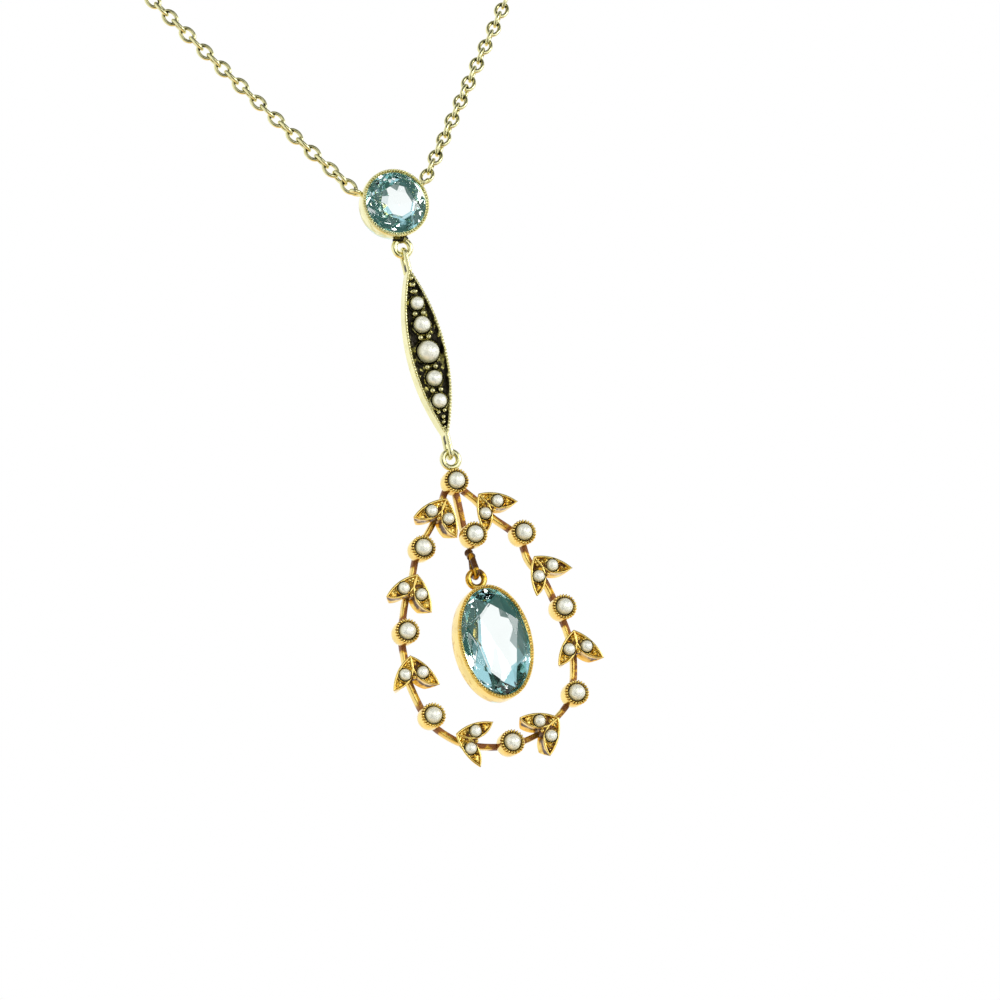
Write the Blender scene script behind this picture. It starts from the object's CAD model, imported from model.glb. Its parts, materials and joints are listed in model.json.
"""Looks of the lavaliere necklace: links, milled settings, carved bar, leaf wreath, pearls and cut stones."""

import json
import math

import bpy
import numpy as np
from bpy.props import FloatProperty, FloatVectorProperty, IntProperty, PointerProperty
from mathutils import Matrix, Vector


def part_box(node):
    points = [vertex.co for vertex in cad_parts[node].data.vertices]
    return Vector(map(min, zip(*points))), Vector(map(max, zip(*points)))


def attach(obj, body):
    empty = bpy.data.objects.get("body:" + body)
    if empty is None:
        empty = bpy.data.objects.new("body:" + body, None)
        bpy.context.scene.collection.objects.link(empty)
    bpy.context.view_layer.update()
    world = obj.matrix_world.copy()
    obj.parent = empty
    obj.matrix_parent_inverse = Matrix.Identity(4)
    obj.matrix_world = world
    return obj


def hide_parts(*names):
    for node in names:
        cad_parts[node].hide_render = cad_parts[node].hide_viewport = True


bl_info = {
    "name": "Lavaliere necklace",
    "version": (1, 0, 0),
    "blender": (4, 5, 0),
    "location": "View3D > Sidebar > Lavaliere",
    "description": "Builds the looks of a hanging pearl and aquamarine necklace round its packed frame",
    "category": "Object",
}

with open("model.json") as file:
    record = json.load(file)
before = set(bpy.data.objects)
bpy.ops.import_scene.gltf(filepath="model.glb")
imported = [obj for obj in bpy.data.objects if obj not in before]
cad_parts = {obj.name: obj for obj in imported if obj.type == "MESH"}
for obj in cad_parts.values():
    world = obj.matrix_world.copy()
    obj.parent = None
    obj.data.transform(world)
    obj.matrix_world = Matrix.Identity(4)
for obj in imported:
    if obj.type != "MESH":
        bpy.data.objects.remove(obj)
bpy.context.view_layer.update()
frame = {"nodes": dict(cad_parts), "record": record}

MM = 0.001
SIDES = (("left", -1), ("right", 1))

# Places taken from the frame
JOINTS = {j["name"]: np.array(j["pos_m"]) for j in frame["record"]["behaviour"]["joints"]}
BAR_HOOK = JOINTS["bar_swing"]
WREATH_HOOK = JOINTS["wreath_swing"]
DROP_HOOK = JOINTS["drop_swing"]


def middle(node):
    """Middle and half sizes of a CAD node's box."""
    low, high = (np.array(corner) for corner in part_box(node))
    return (low + high) / 2, (high - low) / 2


ROUND_MIDDLE, ROUND_HALF = middle("round_stone")
OVAL_MIDDLE, OVAL_HALF = middle("oval_stone")
FRONT_OF_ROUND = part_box("round_setting")[0][1]
FRONT_OF_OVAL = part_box("oval_setting")[0][1]
PENDANT = np.array([0, FRONT_OF_ROUND, ROUND_MIDDLE[2]])

# Rings and loops, as in the frame
RING_WIRE = 0.265 * MM
RING_RADIUS = 0.7 * MM
LOOP_WIRE = 0.2 * MM
LOOP_RADIUS = 0.52 * MM
LUG_WIRE = 0.18 * MM
LUG_RADIUS = 0.43 * MM
LUG_ANGLE = math.radians(26)
LUG_REACH = ROUND_HALF[0] + 0.75 * MM
LUG_DEPTH = 0.95 * MM

# Chain route from each lug to the clasp, as shares of the loop's half width, its reach to the front and its
# drop: the front of each strand by its side, and the back of both, which is mirrored for the left one
NECK = np.array([58.96, 84, 104]) * MM
FRONT_ROUTES = {
    -1: [
        [-0.16, -0.953, -0.887], [-0.26, -0.919, -0.79], [-0.37, -0.872, -0.67], [-0.5, -0.81, -0.545],
        [-0.65, -0.73, -0.41], [-0.8, -0.635, -0.285],
    ],
    1: [
        [0.178, -0.95, -0.896], [0.298, -0.912, -0.808], [0.405, -0.868, -0.705], [0.53, -0.805, -0.575],
        [0.67, -0.725, -0.43], [0.81, -0.63, -0.295],
    ],
}
BACK_ROUTE = [
    [0.92, -0.52, -0.185], [0.985, -0.39, -0.115], [0.98, -0.25, -0.065], [0.87, -0.125, -0.03],
    [0.66, -0.045, -0.01], [0.38, -0.008, 0],
]
CLASP_REACH = 4.12 * MM
CLASP_LOOP = 0.62 * MM
CLASP_WIRE = 0.2 * MM
FRONT_LINKS = 46

# Wreath, from its hook. Cups: [share of the half width, share of the height, shift in mm]. Leaf pairs: the
# same two shares, the direction of the pair in degrees and the shift in mm.
WREATH_HALF = 7.1 * MM
WREATH_HEIGHT = 25.5 * MM
CUPS = [[0.64, 0.309, 0.4], [1, 0.578, 0], [0.912, 0.87, 0.08]]
LEAVES = [
    [0.202, 0.157, -56, 0.26], [0.742, 0.394, -62, 0.12], [1.04, 0.66, -89, 0.1], [0.655, 0.943, -152, -0.12],
]
LEAF_LENGTH = 3.5 * MM
LEAF_SPREAD = 73
LEAF_OUTER = 0.405 * MM
LEAF_INNER = 0.945 * MM
LEAF_FRONT = -0.4 * MM
LEAF_DEPTH = 1.9 * MM
LEAF_DRAW = 0.4
NOTCH = 0.6
CUP_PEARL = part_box("wreath_pearl_top")[1][0]
WIRE_FRONT = 1.0 * MM


class LavaliereSizes(bpy.types.PropertyGroup):
    """Sizes of the details that the frame leaves to the looks."""

    link_wire: FloatProperty(
        name="Link wire", description="Diameter of a link's wire", default=0.33 * MM, unit="LENGTH",
        precision=5)
    link_length: FloatProperty(
        name="Link length", description="Outer length of a link", default=1.74 * MM, unit="LENGTH",
        precision=5)
    link_width: FloatProperty(
        name="Link width", description="Outer width of a link", default=1.29 * MM, unit="LENGTH", precision=5)
    grain_pitch: FloatProperty(
        name="Milgrain pitch", description="Distance between the grains on a setting's rim",
        default=0.25 * MM, unit="LENGTH", precision=5)
    grain_size: FloatProperty(
        name="Milgrain size", description="Diameter of the grains on a setting's rim", default=0.21 * MM,
        unit="LENGTH", precision=5)
    cup_teeth: IntProperty(name="Cup teeth", description="Milled teeth round a pearl cup", default=24)
    leaf_sink: FloatProperty(
        name="Leaf sink", description="Depth of a leaf's carved field", default=0.2 * MM, unit="LENGTH",
        precision=5)
    bar_sink: FloatProperty(
        name="Bar sink", description="Depth of the bar's carved field", default=0.28 * MM, unit="LENGTH",
        precision=5)


class LavaliereColours(bpy.types.PropertyGroup):
    """Colours of the metals, the pearls and the stones."""

    pale_gold: FloatVectorProperty(
        name="Pale gold", description="Chain, bar and round setting", default=(0.82, 0.785, 0.43),
        subtype="COLOR", min=0, max=1)
    warm_gold: FloatVectorProperty(
        name="Warm gold", description="Wreath and oval setting", default=(0.88, 0.67, 0.20),
        subtype="COLOR", min=0, max=1)
    black_patina: FloatVectorProperty(
        name="Black patina", description="Oxide in the recesses of the bar and the chain",
        default=(0.01, 0.008, 0.003), subtype="COLOR", min=0, max=1)
    brown_patina: FloatVectorProperty(
        name="Brown patina", description="Oxide in the recesses of the wreath", default=(0.075, 0.028, 0.006),
        subtype="COLOR", min=0, max=1)
    sea_patina: FloatVectorProperty(
        name="Sea patina", description="Tint of the gold inside a setting, behind its stone",
        default=(0.55, 0.82, 0.74), subtype="COLOR", min=0, max=1)
    pearl: FloatVectorProperty(
        name="Pearl", description="Body colour of the pearls", default=(0.77, 0.77, 0.67), subtype="COLOR",
        min=0, max=1)
    aquamarine: FloatVectorProperty(
        name="Aquamarine", description="Colour of the stones", default=(0.93, 0.985, 0.975), subtype="COLOR",
        min=0, max=1)


# Shells and meshes


def unit(v):
    """Vectors scaled to length one."""
    return v / np.linalg.norm(v, axis=-1, keepdims=True)


def shell(rows, dark=0.0, loop=False):
    """A closed shell over the grid rows[i, k]. Each row is a ring of points, joined to the next row by four-
    sided faces. With loop the last row joins the first, and otherwise a fan of triangles to each end row's
    mean closes it. If the sum of the faces' signed volumes is negative, the faces are turned to point
    outwards."""
    n, m = rows.shape[:2]
    i = np.arange(n if loop else n - 1)[:, None] * m
    j = (i + m) % (n * m)
    k = np.arange(m)
    after = (k + 1) % m
    quads = np.stack(np.broadcast_arrays(i + k, i + after, j + after, j + k), -1).reshape(-1, 4)
    points = rows.reshape(-1, 3)
    dark = np.broadcast_to(dark, rows.shape[:2]).reshape(-1)
    triangles = np.zeros((0, 3), int)
    if not loop:
        points = np.vstack([points, rows[0].mean(0), rows[-1].mean(0)])
        dark = np.append(dark, [dark[0], dark[-1]])
        last = (n - 1) * m
        triangles = np.vstack([
            np.stack([np.full(m, n * m), after, k], -1),
            np.stack([np.full(m, n * m + 1), last + k, last + after], -1),
        ])
    halves = np.vstack([quads[:, :3], quads[:, [0, 2, 3]], triangles])
    a, b, c = (points[halves[:, side]] - points.mean(0) for side in range(3))
    if np.einsum("ij,ij->i", a, np.cross(b, c)).sum() < 0:
        quads, triangles = quads[:, ::-1], triangles[:, ::-1]
    return points, quads, triangles, dark


def copies(part, turns, places, sizes=1.0):
    """The same shell at many places: every point is scaled, turned by its copy's matrix and moved to its
    place."""
    points, quads, triangles, dark = part
    n, m = len(places), len(points)
    scaled = points[None] * np.broadcast_to(np.asarray(sizes, float).reshape(-1, 1, 1), (n, 1, 1))
    moved = np.einsum("nij,nmj->nmi", np.broadcast_to(turns, (n, 3, 3)), scaled) + places[:, None]
    first = (np.arange(n) * m)[:, None, None]
    return (
        moved.reshape(-1, 3), (quads[None] + first).reshape(-1, 4), (triangles[None] + first).reshape(-1, 3),
        np.tile(dark, n),
    )


def join(parts):
    """Several shells as one set of points, faces and patina."""
    starts = np.cumsum([0] + [len(part[0]) for part in parts[:-1]])
    return (
        np.vstack([part[0] for part in parts]),
        np.vstack([part[1] + start for part, start in zip(parts, starts)]),
        np.vstack([part[2] + start for part, start in zip(parts, starts)]),
        np.concatenate([part[3] for part in parts]),
    )


def put(name, parts, finish, body, slot, stands_for, sharp=40):
    """Makes a piece of the shells, with the patina as a point attribute and edges sharper than the angle
    kept."""
    points, quads, triangles, dark = join(parts)
    mesh = bpy.data.meshes.new(name)
    mesh.from_pydata(points.tolist(), [], quads.tolist() + triangles.tolist())
    mesh.attributes.new("patina", "FLOAT", "POINT").data.foreach_set("value", dark.astype(np.float32))
    mesh.polygons.foreach_set("use_smooth", np.full(len(mesh.polygons), sharp > 0))
    if sharp:
        mesh.set_sharp_from_angle(angle=math.radians(sharp))
    mesh.materials.append(finish)
    piece = bpy.data.objects.new(name, mesh)
    bpy.context.scene.collection.objects.link(piece)
    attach(piece, body)
    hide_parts(*stands_for)


def sideways(path, up):
    """Two directions at right angles to a path: the one across its tangent and up, and the one nearest up."""
    along = unit(np.gradient(path, axis=0))
    side = unit(np.cross(along, up))
    return side, np.cross(side, along)


def carried(path, profile, up, closed=False):
    """A profile carried along a path: row i is path[i] plus the profile's x times the side and y times the
    up."""
    if closed:
        wide = np.vstack([path[-2:], path, path[:2]])
        side, high = (part[2:-2] for part in sideways(wide, up))
    else:
        side, high = sideways(path, up)
    profile = np.broadcast_to(profile, (len(path),) + np.shape(profile)[-2:])
    return path[:, None] + profile[..., :1] * side[:, None] + profile[..., 1:] * high[:, None]


def full_turn(count):
    """So many angles at equal steps round a circle."""
    return np.linspace(0, 2 * np.pi, count, endpoint=False)


def circle(radius, sides):
    """Points of a circle in the plane: the radius times the cosine and the sine of each angle."""
    turn = full_turn(sides)
    return radius * np.stack([np.cos(turn), np.sin(turn)], -1)


def soft_box(half_w, half_h, sides=24, power=5):
    """A rectangle with round corners: a circle whose cosines and sines are raised to 2 / power."""
    corner = circle(1, sides)
    return [half_w, half_h] * np.sign(corner) * abs(corner) ** (2 / power)


def torus(centre, axis, radius, wire, steps=64, sides=16, dark=0.0):
    """A ring of round wire: a circle of wire carried round a circle at right angles to the axis."""
    axis = unit(np.asarray(axis, float))
    start = unit(np.cross(axis, [0.3, 0.5, 0.81]))
    turn = full_turn(steps)[:, None]
    path = radius * (np.cos(turn) * start + np.sin(turn) * np.cross(axis, start))
    return shell(carried(path, circle(wire, sides), axis, True) + centre, dark, True)


def curve_through(points, steps, closed=False):
    """A smooth curve through the points: between each pair the cubic that also leans to their two
    neighbours."""
    p = np.asarray(points, float)
    if closed:
        wide = np.vstack([p[-1:], p, p[:2]])
    else:
        wide = np.vstack([2 * p[:1] - p[1:2], p, 2 * p[-1:] - p[-2:-1]])
    a, b, c, d = (wide[i:len(wide) - 3 + i, None] for i in range(4))
    t = (np.arange(steps) / steps)[None, :, None]
    curve = 0.5 * (
        2 * b + (c - a) * t + (2 * a - 5 * b + 4 * c - d) * t ** 2 + (3 * b - a - 3 * c + d) * t ** 3)
    curve = curve.reshape(-1, p.shape[1])
    return curve if closed else np.vstack([curve, p[-1:]])


def lathe(radius, deep, turn):
    """Rows of a form round the Y axis: the radius times the angle's cosine along X and its sine along Z, at
    the depth along Y."""
    return np.stack(np.broadcast_arrays(radius * np.cos(turn), deep, radius * np.sin(turn)), -1)


def bead(rings=5, sides=8):
    """A small round bead of radius one, with its poles front and back: circles of sin(a) at the depth
    -cos(a)."""
    a = np.linspace(0, np.pi, rings + 2)[1:-1, None]
    points, quads, triangles, dark = shell(lathe(np.sin(a), -np.cos(a), full_turn(sides)))
    points[-2:] = [[0, -1, 0], [0, 1, 0]]
    return points, quads, triangles, dark


def grains(places, sizes, dark=0.0):
    """Round gold grains: a bead of each size at its place."""
    each = np.broadcast_to(sizes, len(places))
    points, quads, triangles, _ = copies(bead(), np.eye(3), np.asarray(places), each)
    return points, quads, triangles, np.full(len(points), dark)


def pebble(half_sizes, rings, sides, dark=0.0):
    """A bead stretched to the three half sizes, in mm."""
    points, quads, triangles, _ = bead(rings, sides)
    return points * np.array(half_sizes) * MM, quads, triangles, np.full(len(points), dark)


def smooth(x):
    """0 below 0, 1 above 1 and a smooth step between."""
    x = np.clip(x, 0, 1)
    return x * x * (3 - 2 * x)


# Materials


class Nodes:
    """Short words for the nodes of a material or of the world. What is fed to a socket is a number, a colour
    or another node's output."""

    def __init__(self, owner, coordinates):
        owner.use_nodes = True
        self.tree = owner.node_tree
        self.tree.nodes.clear()
        self.place = self.add("ShaderNodeTexCoord").outputs[coordinates]

    def feed(self, value, socket):
        """Puts a value into a socket or links another node's output to it."""
        if isinstance(value, bpy.types.NodeSocket):
            self.tree.links.new(value, socket)
        elif socket.type == "RGBA":
            socket.default_value = (*value, 1)
        else:
            socket.default_value = value

    def fill(self, node, **values):
        """Feeds a node's sockets by name, where _ stands for a space."""
        for key, value in values.items():
            self.feed(value, node.inputs[key.replace("_", " ")])

    def add(self, kind, **values):
        """A new node with its sockets filled."""
        node = self.tree.nodes.new(kind)
        self.fill(node, **values)
        return node

    def noise(self, scale, detail=3.0, roughness=0.5, distortion=0.0):
        """Cloudy noise, with so many clouds to a metre."""
        node = self.add("ShaderNodeTexNoise", Vector=self.place, Scale=scale, Detail=detail)
        self.fill(node, Roughness=roughness, Distortion=distortion)
        return node.outputs["Fac"]

    def attribute(self, name):
        """A number stored at the mesh's points."""
        node = self.add("ShaderNodeAttribute")
        node.attribute_name = name
        return node.outputs["Fac"]

    def ramp(self, source, low, high, start=0.0, end=1.0):
        """Maps low..high of the source to start..end, with a smooth step."""
        node = self.add("ShaderNodeMapRange", Value=source, From_Min=low, From_Max=high)
        self.fill(node, To_Min=start, To_Max=end)
        node.interpolation_type = "SMOOTHSTEP"
        return node.outputs["Result"]

    def maths(self, operation, a, b):
        """The sum, the product or the like of two numbers."""
        node = self.add("ShaderNodeMath")
        node.operation = operation
        self.feed(a, node.inputs[0])
        self.feed(b, node.inputs[1])
        return node.outputs[0]

    def blend(self, share, a, b):
        """The first colour, with that share of the second."""
        node = self.add("ShaderNodeMix")
        node.data_type = "RGBA"
        colours = [socket for socket in node.inputs if socket.type == "RGBA"]
        for value, socket in zip((share, a, b), (node.inputs["Factor"], *colours)):
            self.feed(value, socket)
        return next(socket for socket in node.outputs if socket.type == "RGBA")

    def bump(self, source, distance, strength, normal=None):
        """Small relief, on top of another bump if there is one."""
        node = self.add("ShaderNodeBump", Height=source, Distance=distance, Strength=strength)
        if normal is not None:
            self.feed(normal, node.inputs["Normal"])
        return node.outputs["Normal"]


class Finish(Nodes):
    """The nodes of one material, with its main shader."""

    def __init__(self, name):
        self.material = bpy.data.materials.new(name)
        super().__init__(self.material, "Object")
        self.shader = self.add("ShaderNodeBsdfPrincipled")
        self.add("ShaderNodeOutputMaterial", Surface=self.shader.outputs[0])

    def look(self, **values):
        """Fills the shader's sockets and gives the material."""
        self.fill(self.shader, **values)
        return self.material


def shade(colour, share):
    """A colour made darker or lighter by a share."""
    return tuple(min(1.0, part * share) for part in colour)


def gold(name, colour, patina, roughness, wear=0.5, dull=0.35):
    """Old polished gold: the colour drifts a little, fine scratches roughen it, and where patina marks a
    recess it deepens to the gold's own second reflection and then to oxide, which is less metallic by the
    dull share."""
    n = Finish(name)
    drift = n.ramp(n.noise(700), 0.3, 0.7)
    coarse = n.noise(1500)
    fine = n.noise(9000, 4, 0.65)
    stain = n.maths("ADD", n.attribute("patina"), n.ramp(coarse, 0.35, 0.7, -0.3, 0.26))
    deepened = n.ramp(stain, wear - 0.4, wear)
    covered = n.ramp(stain, wear - 0.05, wear + 0.25)
    bare = n.blend(drift, shade(colour, 0.93), shade(colour, 1.06))
    twice = tuple(0.85 * part * part for part in colour)
    scratched = n.ramp(fine, 0.35, 0.75, roughness, roughness + 0.14)
    return n.look(
        Base_Color=n.blend(covered, n.blend(deepened, bare, twice), patina),
        Metallic=n.ramp(covered, 0, 1, 1.0, dull),
        Roughness=n.maths("MAXIMUM", scratched, n.ramp(covered, 0, 1, 0.0, 0.9 * (1 - dull))),
        Normal=n.bump(fine, 0.004 * MM, 0.3, n.bump(coarse, 0.03 * MM, 0.35)),
    )


def nacre(name, colour):
    """Seed pearl: cream body with faint cloudy tints under a deep silvery gloss and a thin clear coat, and
    darker towards its seat."""
    n = Finish(name)
    cloud = n.ramp(n.noise(650), 0.3, 0.7)
    tint = n.ramp(n.noise(380, 2, 0.5, 0.6), 0.35, 0.65)
    cool = (colour[0] * 0.97, colour[1] * 0.99, min(1.0, colour[2] * 1.05))
    warm = (colour[0], colour[1] * 0.975, colour[2] * 0.93)
    body = n.blend(tint, n.blend(cloud, cool, warm), shade(colour, 0.96))
    seat = (colour[0] * 0.58, colour[1] * 0.55, colour[2] * 0.38)
    return n.look(
        Base_Color=n.blend(n.attribute("patina"), body, seat), Metallic=0.45,
        Roughness=n.ramp(cloud, 0, 1, 0.24, 0.3), Coat_Weight=0.6, Coat_Roughness=0.25)


def cut_glass(name, colour):
    """Aquamarine: clear blue-green crystal with a faint cloudiness in its colour."""
    n = Finish(name)
    cloud = n.ramp(n.noise(420), 0.3, 0.7)
    tint = n.blend(cloud, shade(colour, 0.97), shade(colour, 1.02))
    return n.look(Base_Color=tint, Transmission_Weight=1.0, Roughness=0.0, IOR=1.58)


def finishes():
    """The materials by slot, made once and found by name afterwards."""
    c = bpy.context.scene.lavaliere_colours
    pale, warm = tuple(c.pale_gold), tuple(c.warm_gold)
    black, brown, sea = tuple(c.black_patina), tuple(c.brown_patina), tuple(c.sea_patina)
    rust = (0.22, 0.08, 0.018)
    makers = {
        "chain_gold": lambda name: gold(name, shade(pale, 0.98), black, 0.17),
        "clasp_gold": lambda name: gold(name, pale, black, 0.2),
        "round_setting_gold": lambda name: gold(name, shade(pale, 1.02), sea, 0.15, 0.5, 0.95),
        "bar_gold": lambda name: gold(name, pale, black, 0.18, 0.5, 0.8),
        "wreath_gold": lambda name: gold(name, warm, brown, 0.14, 0.5, 0.6),
        "wreath_wire": lambda name: gold(name, shade(warm, 0.95), rust, 0.25, 0.45),
        "oval_setting_gold": lambda name: gold(name, warm, sea, 0.17, 0.5, 0.95),
        "pearl": lambda name: nacre(name, tuple(c.pearl)),
        "aquamarine": lambda name: cut_glass(name, tuple(c.aquamarine)),
    }
    made = bpy.data.materials
    return {slot: made.get(f"{slot}_finish") or make(f"{slot}_finish") for slot, make in makers.items()}


# Chain


def lug_place(side):
    """Middle of a lug's ring: from the round setting's middle, the lug's reach at its angle, to one side."""
    return PENDANT + [side * LUG_REACH * math.cos(LUG_ANGLE), LUG_DEPTH, LUG_REACH * math.sin(LUG_ANGLE)]


def link_shape(sizes, steps, sides):
    """One link along X in the XY plane: a round wire carried round an oval. Where it rubs on its neighbours,
    at both ends inside, it is dark."""
    turn = full_turn(steps)
    half_l = (sizes.link_length - sizes.link_wire) / 2
    half_w = (sizes.link_width - sizes.link_wire) / 2
    path = np.stack([half_l * np.cos(turn), half_w * np.sin(turn), 0 * turn], -1)
    rows = carried(path, circle(sizes.link_wire / 2, sides), np.array([0, 0, 1.0]), True)
    inside = np.hypot(rows[..., 0], rows[..., 1]) < np.hypot(path[:, 0], path[:, 1])[:, None]
    dark = inside * smooth((abs(np.cos(turn)) - 0.35) / 0.4)[:, None]
    return shell(rows, dark, True)


def strand(side, sizes):
    """Middles, directions and normals of a strand's links, evenly spaced along the smooth curve from the
    lug's hole to the clasp's loop. The first, third and so on lie flat against the neck, and the others stand
    at right angles. The front of the right strand is twisted a little."""
    lug = lug_place(side)
    chosen = np.vstack([FRONT_ROUTES[side], np.array(BACK_ROUTE) * [side, 1, 1]]) * NECK
    first = lug + unit(chosen[0] - lug) * (LUG_RADIUS - LUG_WIRE - sizes.link_wire / 2)
    inside_loop = CLASP_REACH + CLASP_LOOP - CLASP_WIRE - sizes.link_wire / 2
    curve = curve_through(np.vstack([first, chosen, [side * inside_loop, 0, 0]]), 16)
    run = np.append(0, np.cumsum(np.linalg.norm(np.diff(curve, axis=0), axis=1)))
    half = (sizes.link_length - sizes.link_wire) / 2
    pitch = sizes.link_length - 2 * sizes.link_wire
    count = 2 * round((run[-1] - 2 * half) / pitch / 2) + 1
    at = np.linspace(half, run[-1] - half, count)
    start, places, end = (
        np.stack([np.interp(at + step, run, curve[:, k]) for k in range(3)], -1) for step in (-half, 0, half))
    along = unit(end - start)
    outwards = places - [0, -NECK[1] / 2, 0]
    outwards[:, 2] = 0
    normal = unit(outwards - (outwards * along).sum(1, keepdims=True) * along)
    across = np.cross(normal, along)
    number = np.arange(count)
    roll = np.random.default_rng(11).normal(0, math.radians(7), count) + np.where(number % 2, np.pi / 2, 0)
    if side > 0:
        roll -= math.radians(35) * smooth((FRONT_LINKS - number) / 12)
    c, s = np.cos(roll)[:, None], np.sin(roll)[:, None]
    across, normal = c * across + s * normal, c * normal - s * across
    return places, np.stack([along, across, normal], -1)


class LAVALIERE_OT_chain(bpy.types.Operator):
    """Both strands of interlocking oval links, with finer meshes at the front than further back."""

    bl_idname = "lavaliere.chain"
    bl_label = "Chain"

    def execute(self, context):
        sizes = context.scene.lavaliere_sizes
        for name, side in SIDES:
            places, turns = strand(side, sizes)
            parts = [
                copies(link_shape(sizes, 32, 12), turns[:FRONT_LINKS], places[:FRONT_LINKS]),
                copies(link_shape(sizes, 14, 6), turns[FRONT_LINKS:], places[FRONT_LINKS:]),
            ]
            put(f"chain_links_{name}", parts, finishes()["chain_gold"], "necklace", "chain_gold",
                [f"chain_{name}"], 60)
        return {"FINISHED"}


class LAVALIERE_OT_clasp(bpy.types.Operator):
    """Plain barrel with softened ends and a loop at each end."""

    bl_idname = "lavaliere.clasp"
    bl_label = "Clasp"

    def execute(self, context):
        # Half section of the barrel: a quarter circle at each end, turned round the X axis
        half, radius = 3.5 * MM, 1.09 * MM
        edge = 0.25 * MM
        a = np.linspace(0, np.pi / 2, 7)
        x = np.append(-half + edge * (1 - np.cos(a)), half - edge * (1 - np.cos(a[::-1])))
        r = np.append(radius - edge + edge * np.sin(a), radius - edge + edge * np.sin(a[::-1]))
        parts = [shell(lathe(r[:, None], x[:, None], full_turn(48))[..., [1, 0, 2]])]
        for _, side in SIDES:
            loop_at = np.array([side * CLASP_REACH, 0, 0])
            parts.append(torus(loop_at, [0, 0, 1], CLASP_LOOP, CLASP_WIRE, 40, 12))
        put("clasp_barrel", parts, finishes()["clasp_gold"], "necklace", "clasp_gold", ["clasp"])
        return {"FINISHED"}


# Settings and stones

# Section of a setting, from its inner lip over the milled crest and down the wall:
# [distance outside the stone's edge, depth behind the front, patina], lengths in mm.
LIP = [
    [0.06, 0.56, 1], [0.06, 0.34, 1], [-0.05, 0.34, 1], [-0.07, 0.24, 0.5], [-0.065, 0.16, 0.5],
    [-0.04, 0.12, 0.1], [-0.01, 0.1, 0], [0.02, 0.11, 0.2], [0.05, 0.15, 0.4], [0.13, 0.17, 0.45],
    [0.2, 0.15, 0.4], [0.23, 0.155, 0.1], [0.25, 0.18, 0], [0.26, 0.24, 0], [0.265, 0.32, 0],
    [0.265, 0.42, 0],
]
# Line of the milled grains: distance outside the stone's edge and depth behind the front, in mm
GRAIN_LINE = (0.13, 0.1)


def around(half, away, count):
    """Angles that put so many points at equal steps along the stone's outline, moved outwards by the
    distance."""
    fine = np.linspace(0, 2 * np.pi, 2001)
    outline = np.stack([(half[0] + away) * np.cos(fine), (half[2] + away) * np.sin(fine)])
    run = np.append(0, np.cumsum(np.hypot(*np.diff(outline, axis=1))))
    return np.interp(np.arange(count) / count * run[-1], run, fine), run[-1]


def setting(middle_at, half, front, depth, draw, tarnish, sizes):
    """A setting round a stone: the lip's section carried round the stone's outline, a wall that swells a
    little and draws in to the back, and a row of round grains on the crest. The wall's lower half is
    tarnished by that much."""
    crest, crest_depth = (place * MM for place in GRAIN_LINE)
    _, length = around(half, crest, 8)
    count = round(length / sizes.grain_pitch)
    turn, _ = around(half, 0, 288)
    down = np.linspace(0, 1, 9)[1:]
    back = depth / MM
    wall_away = LIP[-1][0] - draw * down + 0.03 * np.sin(np.pi * down)
    wall = np.stack([wall_away, LIP[-1][1] + (back - 0.48) * down, 0.4 * down ** 2], -1)
    foot = np.array([
        [0.22 - draw, back - 0.02, 0.2], [0.14 - draw, back, 0.3], [-0.08, back, 0.3],
        [-0.12, back - 0.04, 0.8], [-0.12, 0.9, 1], [-0.1, 0.6, 1],
    ])
    section = np.vstack([LIP, wall, foot])
    away, deep = section[:, :1] * MM, section[:, 1:2] * MM
    x = middle_at[0] + (half[0] + away) * np.cos(turn)
    z = middle_at[2] + (half[2] + away) * np.sin(turn)
    rows = np.stack(np.broadcast_arrays(x, front + deep, z), -1)
    ring, _ = around(half, crest, count)
    places = np.stack([middle_at[0] + (half[0] + crest) * np.cos(ring), np.full(count, front + crest_depth),
                       middle_at[2] + (half[2] + crest) * np.sin(ring)], -1)
    luck = np.random.default_rng(count).normal(1, 0.06, count)
    patina = section[:, 2:] + tarnish * smooth((section[:, 1:2] - 0.2) / 0.3) * smooth(-np.sin(turn))
    return [shell(rows, patina, True), grains(places, sizes.grain_size / 2 * luck, 0.0)]


# Cut of each stone: (table's share of the width, of the length), (window's shares), window's sideways shift
# as a share of half the width. The window is the flat bottom of the pavilion.
CUTS = {"round_stone": ((0.56, 0.56), (0.42, 0.42), 0.2), "oval_stone": ((0.58, 0.68), (0.42, 0.66), 0.06)}


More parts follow.
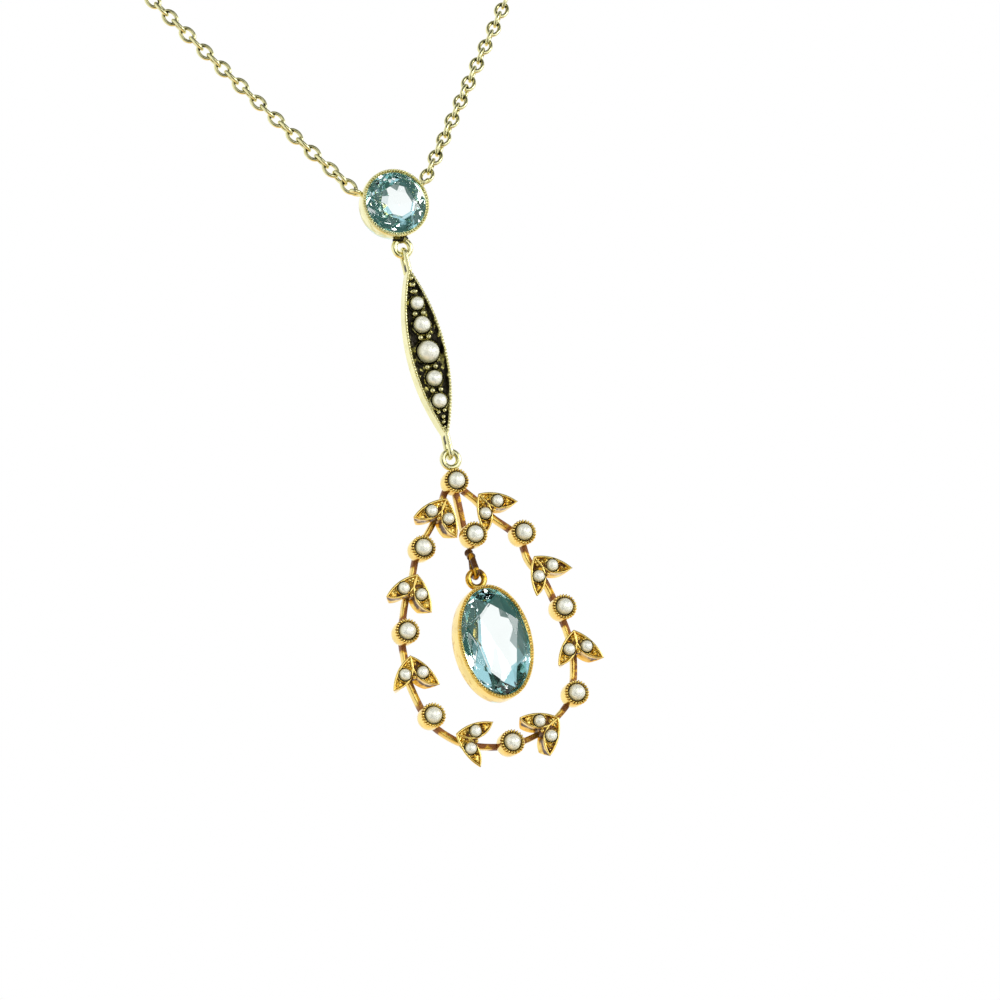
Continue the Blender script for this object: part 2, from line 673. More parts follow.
def stone(middle_at, half, girdle, table, window, shift):
    """A brilliant-cut stone with a shallow, off-centre bottom. Rings of points lie on ellipses: the table's
    eight corners, the eight star tips half a step further, the girdle's sixteen points twice, and the same
    three rows again on the pavilion, down to the window's corners and the culet. A star tip lies at the
    height that keeps the kite facet beside it flat. Triangles join the rings and face outwards."""
    crown, deep = middle_at[1] - half[1], middle_at[1] + half[1]
    points = []

    def ring(share, y, number, start, off=0.0):
        """So many points at equal angles on an ellipse of that share of the stone's half sizes."""
        a = np.radians(start + 360 / number * np.arange(number))
        share = np.array(share)
        points.append(np.stack([middle_at[0] + (share[0] * np.cos(a) + off) * half[0], np.full(number, y),
                                middle_at[2] + share[1] * half[2] * np.sin(a)], -1))

    eighth = math.cos(math.pi / 8)
    star = (np.array(table) + 1) / 2 + 0.03
    star_high = np.mean((1 - star * eighth) / (1 - np.array(table)))
    knee = (np.array(window) + 1) / 2 + 0.06
    knee_deep = 0.84 * np.mean((1 - knee * eighth) / (1 - np.array(window)))
    ring(table, crown, 8, 0)
    ring(star, girdle - star_high * (girdle - crown), 8, 22.5)
    ring((1, 1), girdle, 16, 0)
    ring((1, 1), girdle + 0.05 * MM, 16, 0)
    ring(knee, girdle + knee_deep * (deep - girdle), 8, 22.5, 0.4 * shift)
    ring(window, girdle + 0.84 * (deep - girdle), 8, 0, shift)
    ring((0, 0), deep, 1, 0, shift)
    points = np.vstack(points)
    k = np.arange(8)
    j = np.arange(16)
    on, after, before, odd, even = (k + 1) % 8, (j + 1) % 16, (k + 7) % 8, 2 * k + 1, (2 * k + 2) % 16
    t, c, u, low, bend, flat, tip = 0, 8, 16, 32, 48, 56, 64
    corners = [
        (t + 0 * k[1:-1], t + k[1:-1], t + k[1:-1] + 1), (t + k, c + k, t + on),
        (t + k, c + before, u + 2 * k), (t + k, u + 2 * k, c + k),
        (c + k, u + 2 * k, u + odd), (c + k, u + odd, u + even),
        (u + j, low + j, low + after), (u + j, low + after, u + after),
        (flat + k, bend + k, flat + on), (flat + k, bend + before, low + 2 * k),
        (flat + k, low + 2 * k, bend + k), (bend + k, low + 2 * k, low + odd),
        (bend + k, low + odd, low + even), (flat + k, tip + 0 * k, flat + on),
    ]
    triangles = np.vstack([np.stack(three, -1) for three in corners])
    a, b, c = (points[triangles[:, side]] for side in range(3))
    inwards = (np.cross(b - a, c - a) * (a - points.mean(0))).sum(1) < 0
    triangles[inwards] = triangles[inwards, ::-1]
    return points, np.zeros((0, 4), int), triangles, np.zeros(len(points))


class LAVALIERE_OT_settings(bpy.types.Operator):
    """Round and oval settings with milled rims, and the rings, lugs and solder on them."""

    bl_idname = "lavaliere.settings"
    bl_label = "Settings"

    def execute(self, context):
        sizes = context.scene.lavaliere_sizes
        ring_y = BAR_HOOK[1]
        ring_z = BAR_HOOK[2] + RING_RADIUS
        parts = [
            *setting(
                ROUND_MIDDLE, ROUND_HALF, FRONT_OF_ROUND, 1.9 * MM, draw=0.15, tarnish=0.34, sizes=sizes),
            torus(np.array([0, ring_y, ring_z]), [0, 1, 0], RING_RADIUS, RING_WIRE, dark=0.1),
        ]
        for _, side in SIDES:
            lug = lug_place(side)
            axis = [-side * math.sin(LUG_ANGLE), 0, math.cos(LUG_ANGLE)]
            parts.append(torus(lug, axis, LUG_RADIUS, LUG_WIRE, 40, 12, dark=0.25))
        # Solder between the setting and its ring: a bead stretched sideways, dark with flux
        dab_at = np.array([[0, ring_y, ROUND_MIDDLE[2] - ROUND_HALF[2] - 0.36 * MM]])
        solder = copies(pebble([0.72, 0.42, 0.36], 9, 20, 0.9), np.eye(3), dab_at)
        looks = finishes()
        place = ("necklace", "round_setting_gold", ["round_setting"])
        put("round_solder", [solder], looks["bar_gold"], *place)
        put("round_collet", parts, looks["round_setting_gold"], *place)
        place = ("oval_drop", "oval_setting_gold", ["oval_setting"])
        ring = torus(DROP_HOOK - [0, 0, RING_RADIUS], [0, 1, 0], RING_RADIUS, RING_WIRE, dark=0.5)
        put("oval_ring", [ring], looks["wreath_gold"], *place)
        parts = setting(OVAL_MIDDLE, OVAL_HALF, FRONT_OF_OVAL, 2.2 * MM, draw=0.05, tarnish=0.12, sizes=sizes)
        put("oval_collet", parts, looks["oval_setting_gold"], *place)
        return {"FINISHED"}


class LAVALIERE_OT_stones(bpy.types.Operator):
    """Round and oval aquamarines."""

    bl_idname = "lavaliere.stones"
    bl_label = "Stones"

    def execute(self, context):
        for node, body in (("round_stone", "necklace"), ("oval_stone", "oval_drop")):
            at, half = middle(node)
            girdle = at[1] - half[1] + 0.7 * MM
            parts = [stone(at, half, girdle, *CUTS[node])]
            put(f"{node}_cut", parts, finishes()["aquamarine"], body, "aquamarine", [node], 0)
        return {"FINISHED"}


class LAVALIERE_OT_pearls(bpy.types.Operator):
    """The thirty pearls, each a slightly uneven ball in the place of its own node."""

    bl_idname = "lavaliere.pearls"
    bl_label = "Pearls"

    def execute(self, context):
        luck = np.random.default_rng(5)
        ball = bead(19, 36)
        for node in sorted(frame["nodes"]):
            if "_pearl_" not in node:
                continue
            at, half = middle(node)
            phase = luck.uniform(0, 2 * np.pi, 4)
            x, y, z = ball[0].T
            # Two low waves across the ball make it uneven, and it is a little flatter from front to back
            wave = 0.012 * np.sin(3 * x + 2 * z + phase[0]) + 0.01 * np.sin(5 * z - 3 * y + phase[1])
            squash = np.array([1, 0.94, 1]) * (0.995 + 0.005 * np.sin(phase[2:3]))
            points = ball[0] * (0.985 + wave)[:, None] * squash * half[0] + at
            shaded = smooth((y + 0.85) / 0.6)
            body = "bar_drop" if node.startswith("bar") else "wreath_drop"
            put(f"{node}_nacre", [(points, *ball[1:3], shaded)], finishes()["pearl"], body, "pearl", [node])
        return {"FINISHED"}


# Bar and leaves


def arc(along, length, rise):
    """Distance of an arc from its chord, at the places along a chord of that length. The circle goes through
    both ends and reaches the rise halfway."""
    radius = (length ** 2 / 4 + rise ** 2) / (2 * rise)
    return np.sqrt(radius ** 2 - (along - length / 2) ** 2) - (radius - rise)


def plate(at, along, out, behind, length, rises, depth, draw, rim, bevel, sink, seats, carving, slot, rows,
          cells):
    """A pointed plate between an outer and an inner arc, as a closed shell. Row i is a section across it:
    over the carved front from the inner edge to the outer one, down the outer wall, which leans in by the
    draw, along the back and up the inner wall, which has a shallow slot. The front has a round raised rim, a
    slope down to a sunk field, and a round seat with a thin collar for each pearl [place along, place out,
    radius, depth of its middle]. The carving gives the field's relief and patina from the place and from the
    share of the slope passed."""
    s = length * (0.5 - 0.5 * np.cos(np.linspace(0.03, 0.97, rows) * np.pi))[:, None]
    outer, inner = arc(s, length, rises[0]), -arc(s, length, rises[1])
    v = np.sin(np.linspace(-1, 1, cells) * np.pi / 2)[None]
    q = (outer + inner) / 2 + (outer - inner) / 2 * v
    edge = np.minimum(outer - q, q - inner)
    over = rim * 0.5 * (1 - np.sqrt(np.clip(1 - (2 * edge / rim - 1) ** 2, 0, 1)))
    down = np.clip((edge - 0.6 * rim) / bevel, 0, 1)
    fall = smooth(down * 1.2 - 0.1)
    deep = np.where(edge < rim / 2, over, sink * fall)
    carved, dark = carving(s, q, down)
    deep = deep - carved * fall
    for seat_s, seat_q, radius, centre in seats:
        away = np.hypot(s - seat_s, q - seat_q)
        collar = np.exp(-((away - radius - 0.05 * MM) / (0.055 * MM)) ** 2) * fall
        deep = deep - 0.7 * sink * collar
        ring = np.exp(-((away - radius - 0.19 * MM) / (0.08 * MM)) ** 2) * fall
        dark = np.maximum(dark, 0.95 * ring) * (1 - 0.6 * collar)
        hole = centre + np.sqrt(np.clip(radius ** 2 - away ** 2, 0, None))
        deep = np.where(away < radius, np.maximum(deep, hole), deep)
        dark = np.where(away < radius, 0.9, dark)
    steps = np.linspace(0, 1, 10)[None, 1:]
    reach = np.minimum(depth, (outer - inner) / draw * 0.97)
    groove = 0.1 * MM * slot * np.sin(np.pi * steps) * smooth((outer - inner) / (0.6 * MM))
    wall_q = outer - draw * reach * steps
    back_q = (outer - draw * reach) + (inner - outer + draw * reach) * np.linspace(0, 1, 8)[None, 1:]
    up_q = inner + groove[:, ::-1]
    loops_q = np.hstack([q, wall_q, back_q, up_q[:, 1:]])
    up_y = (reach * steps)[:, ::-1][:, 1:]
    loops_y = np.hstack([deep, reach * steps, np.repeat(reach, 7, 1), up_y])
    shadow = 0.85 * slot * np.sin(np.pi * steps[:, ::-1][:, 1:]) ** 2
    loops_dark = np.hstack([
        dark, np.full_like(wall_q, 0.05), np.full_like(back_q, 0.15), np.repeat(shadow, rows, 0)])
    points = at + s[..., None] * along + loops_q[..., None] * out + loops_y[..., None] * behind
    return shell(points, loops_dark)


def seat_of(node, at, along, out, behind, spare):
    """A pearl's seat in a plate's own directions, which are multiplied with the way to its middle: [place
    along, place out, radius, depth of its middle]."""
    centre, half = middle(node)
    v = centre - at
    return [v @ along, v @ out, half[0] + spare, v @ behind]


def teardrop(hook, away, behind, length, wire, dark):
    """A loop of wire bent round a hook point and brought together at its tip: an arc about the hook, and the
    two straight tangents from the arc to the tip, carried with a round wire."""
    half = math.acos(LOOP_RADIUS / length)
    turn = np.linspace(half, 2 * np.pi - half, 40)[:, None]
    bend = LOOP_RADIUS * (np.cos(turn) * away + np.sin(turn) * behind)
    legs = np.linspace(0, 1, 12)[1:-1, None]
    tip = (length - wire) * away
    path = hook + np.vstack([tip + (bend[:1] - tip) * legs, bend, bend[-1:] + (tip - bend[-1:]) * legs])
    return shell(carried(path, circle(wire, 12), np.cross(away, behind)), dark)


def staple(hook, away, behind, length, wire):
    """A loop of wire bent over a hook point: a half circle about it with two straight legs, and a dab of dark
    solder between the legs."""
    turn = np.linspace(np.pi / 2, 1.5 * np.pi, 24)[:, None]
    bend = LOOP_RADIUS * (np.cos(turn) * away + np.sin(turn) * behind)
    legs = np.linspace(0, 1, 8)[1:, None] * length * away
    path = hook + np.vstack([bend[:1] + legs[::-1], bend, bend[-1:] + legs])
    side = np.cross(away, behind)
    turned = np.stack([side, behind, away], -1)
    dab = copies(pebble([0.17, 0.5, 0.45], 7, 16, 0.9), turned, (hook + (length - 0.35 * MM) * away)[None])
    return [shell(carried(path, circle(wire, 12), side)), dab]


class LAVALIERE_OT_bar(bpy.types.Operator):
    """Pointed bar with milled edges, a dark carved field, grains between its pearls and a wire loop at each
    end."""

    bl_idname = "lavaliere.bar"
    bl_label = "Bar"

    def execute(self, context):
        sizes = context.scene.lavaliere_sizes
        half_w, depth, neck = middle("bar")[1][0], 1.15 * MM, 1.15 * MM
        length = np.linalg.norm(WREATH_HOOK - BAR_HOOK) - 2 * neck
        rim, bevel, sink = 0.16 * MM, 0.4 * MM, sizes.bar_sink
        along = unit(WREATH_HOOK - BAR_HOOK)
        out = np.array([1.0, 0, 0])
        behind = np.cross(out, along)
        at = BAR_HOOK + neck * along - depth / 2 * behind
        names = [f"bar_pearl_{i}" for i in range(1, 6)]
        seats = [seat_of(name, at, along, out, behind, 0.07 * MM) for name in names]

        def bark(s, q, down):
            """Relief and patina of the bar's field: a wave along it, bent by a second one, times a wave
            across it. It is dark where the slope has gone down, and a little less so on the waves' crests."""
            bent = np.sin(s / (0.16 * MM) + 2 * np.sin(q / (0.21 * MM)))
            waves = bent * np.sin(q / (0.12 * MM) - s / (0.4 * MM))
            start = 0.55 - 0.5 * smooth(q / (0.1 * MM))
            soot = smooth((down - start) / 0.3) * (1 - 0.25 * smooth(3 * waves - 1.6))
            return 0.05 * MM * waves, np.where(down <= 0, 0.3, 0.95 * soot)

        parts = [plate(
            at, along, out, behind, length, (half_w, half_w), depth, 0.12, rim, bevel, sink, seats, bark,
            slot=0.0, rows=150, cells=52)]
        # Milled grains along both edges
        s = np.arange(0.4 * MM, length - 0.4 * MM, 0.29 * MM)[:, None]
        for side in (-1, 1):
            places = at + s * along + side * (arc(s, length, half_w) - 0.08 * MM) * out + 0.05 * MM * behind
            parts.append(grains(places, 0.12 * MM, 0.0))
        # Two grains in each gap between pearls, and more towards the lower point
        gaps = [(a[0] + a[2] + b[0] - b[2]) / 2 for a, b in zip(seats[:-1], seats[1:])]
        spots = [[gap, side * 0.37 * MM, 0.25 * MM] for gap in gaps for side in (-1, 1)]
        low = seats[-1][0]
        spots += [[low + step * MM, q * MM, size * MM] for step, q, size in (
            (0.85, 0.3, 0.2), (0.95, -0.25, 0.18), (1.4, 0.08, 0.2), (1.85, 0, 0.17), (2.25, 0.02, 0.12))]
        for spot_s, spot_q, size in spots:
            place = at + spot_s * along + spot_q * out + (sink - 0.75 * size) * behind
            parts.append(grains(place[None], size, 0.08))
        # Three short ribs under the upper point
        for step, half_rib in ((1.0, 0.2), (1.6, 0.28), (2.2, 0.36)):
            turn = np.stack([out, behind, -along], -1)
            place = at + step * MM * along + 0.25 * sink * behind
            parts.append(copies(pebble([half_rib, 0.24, 0.2], 7, 12), turn, place[None]))
        for hook, away in ((BAR_HOOK, along), (WREATH_HOOK, -along)):
            parts += staple(hook, away, behind, neck + 0.35 * MM, 1.1 * LOOP_WIRE)
        put("pearl_bar", parts, finishes()["bar_gold"], "bar_drop", "bar_gold", ["bar"], 50)
        return {"FINISHED"}


# Wreath


def cup_places():
    """Front middles of the nine cups, from the boxes of their pearls."""
    names = ["top", "inner", "bottom"] + [f"{side}_{i}" for side, _ in SIDES for i in (1, 2, 3)]
    return np.array([middle(f"wreath_pearl_{name}")[0] for name in names])


def cup(sizes):
    """A pearl cup round the Y axis with its pearl's middle at the origin: a round seat, a sloping rim,
    slanted teeth, a groove, a slightly swelling wall and a rounded back. The teeth are a cosine of the angle
    that slides with the depth, with narrow gaps."""
    edge = CUP_PEARL / MM + 0.035
    # [radius, depth, height of the teeth here, patina] in mm
    seat = [[edge * math.sin(a), edge * math.cos(a), 0, 0.6] for a in np.linspace(0.08, 1.4, 7)]
    section = np.array(seat + [
        [edge + 0.005, -0.04, 0, 0.35], [edge + 0.03, -0.09, 0.3, 0.2], [edge + 0.07, -0.13, 0.7, 0.1],
        [edge + 0.12, -0.165, 1, 0], [0.97, -0.185, 1, 0], [1.02, -0.175, 1, 0], [1.06, -0.14, 1, 0],
        [1.085, -0.08, 1, 0], [1.09, 0.0, 1, 0], [1.08, 0.08, 0.8, 0.1], [1.05, 0.14, 0.4, 0.35],
        [1.03, 0.18, 0, 0.35], [1.04, 0.26, 0, 0], [1.06, 0.45, 0, 0], [1.068, 0.75, 0, 0],
        [1.06, 1.05, 0, 0], [1.035, 1.3, 0, 0.05], [0.98, 1.5, 0, 0.1], [0.89, 1.63, 0, 0.15],
        [0.76, 1.71, 0, 0.2], [0.5, 1.75, 0, 0.2], [0.1, 1.755, 0, 0.2],
    ])
    teeth = sizes.cup_teeth
    turn = full_turn(8 * teeth)
    radius, deep, tooth, dark = (section[:, k:k + 1] for k in range(4))
    wave = 0.5 - 0.5 * np.cos(teeth * turn + 7 * deep)
    lobe = 1 - (1 - wave) ** 2
    radius = radius - 0.14 * tooth * (1 - lobe)
    deep = deep + 0.07 * tooth * (1 - lobe)
    return shell(lathe(radius, deep, turn) * MM, np.maximum(dark, 0.95 * tooth * (1 - lobe)))


def wreath_spot(side, across, down, lean):
    """A place in the wreath's plane, from the shares of its half width and height and the shift in mm."""
    return np.array([side * across * WREATH_HALF + lean * MM, -down * WREATH_HEIGHT])


def leaf_parts(number, side, sizes):
    """Two leaves of a pair, each a plate turned by half the spread from the pair's direction, with their
    grains, and a round web on the lathe with one more grain between them."""
    across, down, angle, lean = LEAVES[number]
    x, z = wreath_spot(side, across, down, lean)
    base = WREATH_HOOK + [x, LEAF_FRONT, z]
    behind = np.array([0.0, 1.0, 0])
    name = SIDES[side > 0][0]
    parts = []

    def veins(s, q, down):
        """Relief and patina of a leaf's field: fine slanted waves near its base, and lumps that are the
        product of two sine waves. It is dark in patches where the slope has gone down."""
        waves = np.sin((s + 0.6 * abs(q)) / (0.075 * MM))
        zone = smooth((0.36 * LEAF_LENGTH - s) / (0.08 * LEAF_LENGTH))
        patch = np.sin(s / (0.3 * MM) + 4 * number + side) * np.sin(q / (0.2 * MM) + 2 * number)
        soot = smooth((down - 0.3) / 0.5) * (0.55 + 0.4 * patch - 0.3 * zone * smooth(waves))
        lumps = np.sin(s / (0.17 * MM) + number) * np.sin(q / (0.13 * MM) + 2 * side + number)
        return (0.035 * waves * zone + 0.04 * lumps) * MM, soot

    for rim_side, rim_name in ((1, "outer"), (-1, "inner")):
        a = math.radians(angle + rim_side * LEAF_SPREAD / 2)
        along = np.array([side * math.cos(a), 0, math.sin(a)])
        out = rim_side * np.array([-side * math.sin(a), 0, math.cos(a)])
        seat = seat_of(f"leaf_pearl_{name}_{number + 1}_{rim_name}", base, along, out, behind, 0.05 * MM)
        parts.append(plate(
            base, along, out, behind, LEAF_LENGTH, (LEAF_OUTER, LEAF_INNER), LEAF_DEPTH, LEAF_DRAW,
            0.2 * MM, 0.16 * MM, sizes.leaf_sink, [seat], veins, slot=1.0, rows=64, cells=40))
        for spot_s, spot_q, size in ((2.55, -0.2, 0.14), (2.92, -0.12, 0.1), (0.78, -0.24, 0.13)):
            deep = sizes.leaf_sink - 0.4 * size * MM
            place = base + spot_s * MM * along + spot_q * MM * out + deep * behind
            parts.append(grains(place[None], size * MM, 0.1))
    way = math.radians(angle)
    pair = np.array([side * math.cos(way), 0, math.sin(way)])
    web = base + 0.41 * LEAF_LENGTH * pair
    # Edge of the web: [radius, depth], in mm
    edge = np.array([
        [0.1, 0.12], [0.5, 0.12], [0.57, 0.15], [0.6, 0.22], [0.6, 1.85], [0.55, 1.93], [0.1, 1.95],
    ]) * MM
    parts.append(shell(lathe(edge[:, :1], edge[:, 1:], full_turn(32)) + web, 0.85))
    parts.append(grains((base + 0.545 * LEAF_LENGTH * pair + [0, 0.1 * MM, 0])[None], 0.16 * MM, 0.1))
    return parts


def wreath_line():
    """The ring's middle line in the plane of the wreath: a smooth closed curve through the top cup, each leaf
    pair's base and notch and each cup down the right side, the bottom cup, and up the left side."""
    halves = []
    for _, side in SIDES:
        points = []
        for i, (across, down, angle, lean) in enumerate(LEAVES):
            base = wreath_spot(side, across, down, lean)
            way = np.array([side * math.cos(math.radians(angle)), math.sin(math.radians(angle))])
            points += [base, base + NOTCH * LEAF_LENGTH * way]
            if i < len(CUPS):
                points.append(wreath_spot(side, *CUPS[i]))
        halves.append(points)
    top = middle("wreath_pearl_top")[0][2] - WREATH_HOOK[2]
    left, right = halves
    flat = curve_through(np.array([[0, top]] + right + [[0, -WREATH_HEIGHT]] + left[::-1]), 10, True)
    return np.stack([flat[:, 0], 0 * flat[:, 0], flat[:, 1]], -1)


class LAVALIERE_OT_wreath(bpy.types.Operator):
    """Wire ring, stem, milled cups, leaf pairs, top ring and hook loop of the wreath."""

    bl_idname = "lavaliere.wreath"
    bl_label = "Wreath"

    def execute(self, context):
        sizes = context.scene.lavaliere_sizes
        looks = finishes()
        place = ("wreath_drop", "wreath_gold", ["wreath"])
        front = np.array([0, 1.0, 0])
        # Wire ring: dark on the face that looks forward, bright at its sides
        band = soft_box(0.25 * MM, 0.4 * MM)
        path = wreath_line() + WREATH_HOOK + [0, WIRE_FRONT + 0.4 * MM, 0]
        facing = smooth((-band[:, 1] / MM - 0.2) / 0.15)
        rows = carried(path, band, front, True)
        lit = smooth((rows - path[:, None])[..., 0] / (0.12 * MM) + 1)
        cups = cup_places()
        away = np.hypot(path[:, :1] - cups[:, 0], path[:, 2:] - cups[:, 2]).min(1)[:, None]
        near_cup = 0.95 * smooth((1.75 * MM - away) / (0.5 * MM))
        wire = shell(rows, np.maximum(0.75 * facing * lit, near_cup), True)
        # Stem from the top cup to the inner cup
        top, inner = middle("wreath_pearl_top")[0][2], middle("wreath_pearl_inner")[0][2]
        stem_y = WREATH_HOOK[1] + 0.575 * MM
        stem_path = np.linspace([0, stem_y, top], [0, stem_y, inner], 24)
        stem_band = soft_box(0.25 * MM, 0.475 * MM)
        stem_dark = 0.75 * smooth((-stem_band[:, 1] / MM - 0.25) / 0.15)[None]
        stem = shell(carried(stem_path, stem_band, front), stem_dark)
        ring = torus(WREATH_HOOK - [0, 0, RING_RADIUS], front, RING_RADIUS, RING_WIRE, dark=0.05)
        put("wreath_ring", [ring], looks["bar_gold"], *place)
        put("wreath_wires", [wire, stem], looks["wreath_wire"], *place, 50)
        stub = np.linspace([0, stem_y, inner - 0.95 * MM], [0, DROP_HOOK[1], DROP_HOOK[2] + 1.2 * MM], 12)
        swell = (0.33 + 0.05 * np.sin(np.linspace(0, 9, 12)))[:, None, None] * circle(MM, 20)
        parts = [
            copies(cup(sizes), np.eye(3), cups),
            teardrop(DROP_HOOK, np.array([0, 0, 1.0]), front, 1.8 * MM, 0.26 * MM, dark=0.78),
            shell(carried(stub, swell, front), 0.9),
        ]
        put("wreath_cups", parts, looks["wreath_gold"], *place, 50)
        for name, side in SIDES:
            parts = [part for number in range(4) for part in leaf_parts(number, side, sizes)]
            put(f"wreath_leaves_{name}", parts, looks["wreath_gold"], *place, 50)
        return {"FINISHED"}


# Stage

# Camera: directions across and up the photograph, the pendant's place in it, the width of a pixel and the
# distance. Picture: its width in pixels. Sensor: its width in mm. Floor: half its side and its height.
RIGHTWARDS = np.array([0.9339, -0.2916, -0.2070])
UPWARDS = np.array([0.1424, -0.2278, 0.9633])
BACKWARDS = np.cross(RIGHTWARDS, UPWARDS)
PENDANT_PIXEL = (396.5, 202)
PIXEL = 0.085 * MM
CAMERA_DISTANCE = 1.0
PICTURE = 1000
SENSOR = 36
FLOOR_HALF = 3.0
FLOOR_HEIGHT = -0.38


def from_camera(right, up, back):
    """A step in the camera's own directions."""
    return right * RIGHTWARDS + up * UPWARDS + back * BACKWARDS


def world_light():
    """Studio round the necklace: bright behind and at the sides, dark where the camera stands, and plain
    white to the camera itself."""
    world = bpy.data.worlds.new("studio")
    bpy.context.scene.world = world
    n = Nodes(world, "Generated")

    def facing(right, up, back):
        """How far a ray points in the camera's directions: the dot product of the two."""
        node = n.add("ShaderNodeVectorMath")
        node.operation = "DOT_PRODUCT"
        n.feed(n.place, node.inputs[0])
        n.feed(tuple(unit(from_camera(right, up, back))), node.inputs[1])
        return node.outputs["Value"]

    def glow_of(colour, strength=1.0):
        """Light of a colour and strength."""
        return n.add("ShaderNodeBackground", Color=colour, Strength=strength).outputs[0]

    def choose(share, a, b):
        """The first light, or the second where the share is one."""
        node = n.add("ShaderNodeMixShader")
        for value, socket in zip((share, a, b), node.inputs):
            n.feed(value, socket)
        return node.outputs[0]

    # Seen by metal and pearls
    mirror = n.ramp(facing(0.54, 0.42, 0.73), 0.7, 0.95, 1.0, 2.0)
    front = n.maths("MULTIPLY", n.ramp(n.noise(3.2, 1.5), 0.43, 0.56, 0.12, 1.15), mirror)
    left = n.maths("MAXIMUM", front, n.ramp(facing(-0.8, -0.5, 0.1), 0.2, 0.6, 0.0, 1.05))
    behind = n.ramp(facing(0, 0, -1), -0.1, 0.4, 0.0, 1.1)
    hole = n.ramp(facing(-0.25, -0.25, 1), 0.8, 0.96, 1.0, 0.1)
    upper = n.ramp(facing(0.3, 0.95, 0), 0.35, 0.9, 1.0, 0.25)
    glow = n.maths("MULTIPLY", n.maths("MULTIPLY", n.maths("MAXIMUM", left, behind), hole), upper)
    cool = n.blend(n.ramp(glow, 0.1, 0.7), (0.86, 0.93, 0.82), (1, 1, 1))
    studio = glow_of(n.blend(n.ramp(facing(0, -1, 0), 0.45, 0.85), cool, (1.0, 0.74, 0.42)), glow)
    # Seen through the stones: white straight behind, light blue above and deep teal elsewhere
    aside = n.ramp(facing(0.1, 0.9, -0.3), 0.1, 0.45)
    deep = n.blend(aside, (0.04, 0.115, 0.1), (0.44, 0.76, 0.84))
    crystal = glow_of(n.blend(n.ramp(facing(0, 0, -1), 0.9, 0.95), deep, (1, 1, 1)))
    rays = n.add("ShaderNodeLightPath").outputs
    through = n.maths("MAXIMUM", rays["Is Transmission Ray"], rays["Transmission Depth"])
    lit = choose(through, studio, crystal)
    n.add("ShaderNodeOutputWorld", Surface=choose(rays["Is Camera Ray"], lit, glow_of((1, 1, 1))))


def soft_light(name, at, target, size, power, glossy):
    """A square area light that looks at the target, with or without its own reflection in gloss."""
    data = bpy.data.lights.new(name, "AREA")
    data.size = size
    data.energy = power
    lamp = bpy.data.objects.new(name, data)
    lamp.visible_glossy = glossy
    bpy.context.scene.collection.objects.link(lamp)
    aim(lamp, np.asarray(at), np.asarray(target))


def aim(thing, at, target, up=(0, 0, 1)):
    """Puts a camera or a light at a place, with its back axis away from the target."""
    back = unit(at - target)
    right = unit(np.cross(up, back))
    turn = np.eye(4)
    turn[:3, :3] = np.stack([right, np.cross(back, right), back], -1)
    turn[:3, 3] = at
    thing.matrix_world = Matrix(turn.tolist())


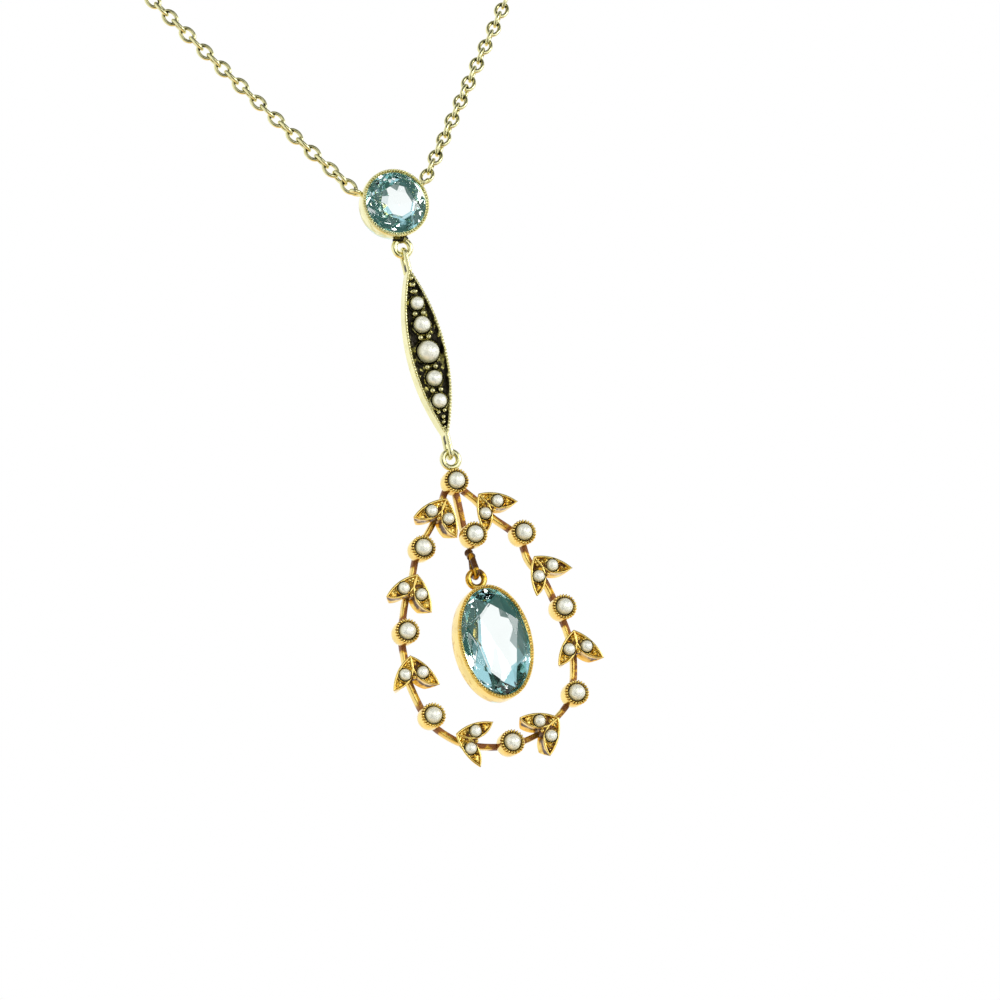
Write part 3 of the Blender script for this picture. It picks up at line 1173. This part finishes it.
class LAVALIERE_OT_stage(bpy.types.Operator):
    """Camera, pale floor and soft studio light."""

    bl_idname = "lavaliere.stage"
    bl_label = "Stage"

    def execute(self, context):
        scene = context.scene
        right, down = (PICTURE / 2 - place for place in PENDANT_PIXEL)
        centre = PENDANT + PIXEL * (right * RIGHTWARDS - down * UPWARDS)
        data = bpy.data.cameras.new("camera")
        data.sensor_width = SENSOR
        data.lens = SENSOR * CAMERA_DISTANCE / (PICTURE * PIXEL)
        data.clip_start, data.clip_end = 0.01, 20
        camera = bpy.data.objects.new("camera", data)
        scene.collection.objects.link(camera)
        aim(camera, centre + CAMERA_DISTANCE * BACKWARDS, centre, UPWARDS)
        scene.camera = camera
        mesh = bpy.data.meshes.new("floor")
        ends = ((-1, -1), (1, -1), (1, 1), (-1, 1))
        corners = [(x * FLOOR_HALF, y * FLOOR_HALF, FLOOR_HEIGHT) for x, y in ends]
        mesh.from_pydata(corners, [], [[0, 1, 2, 3]])
        floor = bpy.data.objects.new("floor", mesh)
        scene.collection.objects.link(floor)
        n = Finish("floor_white")
        mesh.materials.append(n.look(Base_Color=n.blend(n.noise(3), (0.86,) * 3, (0.9,) * 3), Roughness=0.8))
        floor.visible_transmission = False
        floor.visible_glossy = False
        # Each lamp's name, place from the middle of the picture, size, power and whether gloss shows it
        for name, step, size, power, glossy in (
            ("key", (0.2, 0.35, 0.35), 0.3, 2.2, False),
            ("fill", (-0.3, -0.1, 0.4), 0.3, 0.9, False),
            ("spark", (0.42, 0.2, 0.1), 0.15, 0.5, True),
        ):
            soft_light(name, centre + from_camera(*step), centre, size, power, glossy)
        world_light()
        scene.view_settings.view_transform = "Standard"
        # Light turns round inside a cut stone several times before it comes out again
        scene.cycles.max_bounces = 24
        scene.cycles.glossy_bounces = 7
        scene.cycles.transmission_bounces = 16
        return {"FINISHED"}


class LAVALIERE_PT_panel(bpy.types.Panel):
    """Sizes, colours and one button for each group of pieces."""

    bl_label = "Lavaliere necklace"
    bl_space_type = "VIEW_3D"
    bl_region_type = "UI"
    bl_category = "Lavaliere"

    def draw(self, context):
        for group in (context.scene.lavaliere_sizes, context.scene.lavaliere_colours):
            for key in group.bl_rna.properties.keys():
                if key not in ("rna_type", "name"):
                    self.layout.prop(group, key)
        for operator in OPERATORS:
            self.layout.operator(operator.bl_idname)


OPERATORS = (
    LAVALIERE_OT_stage, LAVALIERE_OT_chain, LAVALIERE_OT_clasp, LAVALIERE_OT_settings, LAVALIERE_OT_stones,
    LAVALIERE_OT_pearls, LAVALIERE_OT_bar, LAVALIERE_OT_wreath,
)
CLASSES = (LavaliereSizes, LavaliereColours, *OPERATORS, LAVALIERE_PT_panel)


def register():
    for cls in CLASSES:
        bpy.utils.register_class(cls)
    bpy.types.Scene.lavaliere_sizes = PointerProperty(type=LavaliereSizes)
    bpy.types.Scene.lavaliere_colours = PointerProperty(type=LavaliereColours)


def unregister():
    del bpy.types.Scene.lavaliere_sizes
    del bpy.types.Scene.lavaliere_colours
    for cls in reversed(CLASSES):
        bpy.utils.unregister_class(cls)


def main():
    """Builds every piece in order, then notes the frame's box and the dressed model's."""
    register()
    for operator in OPERATORS:
        group, name = operator.bl_idname.split(".")
        getattr(getattr(bpy.ops, group), name)()


if __name__ == "__main__":
    main()
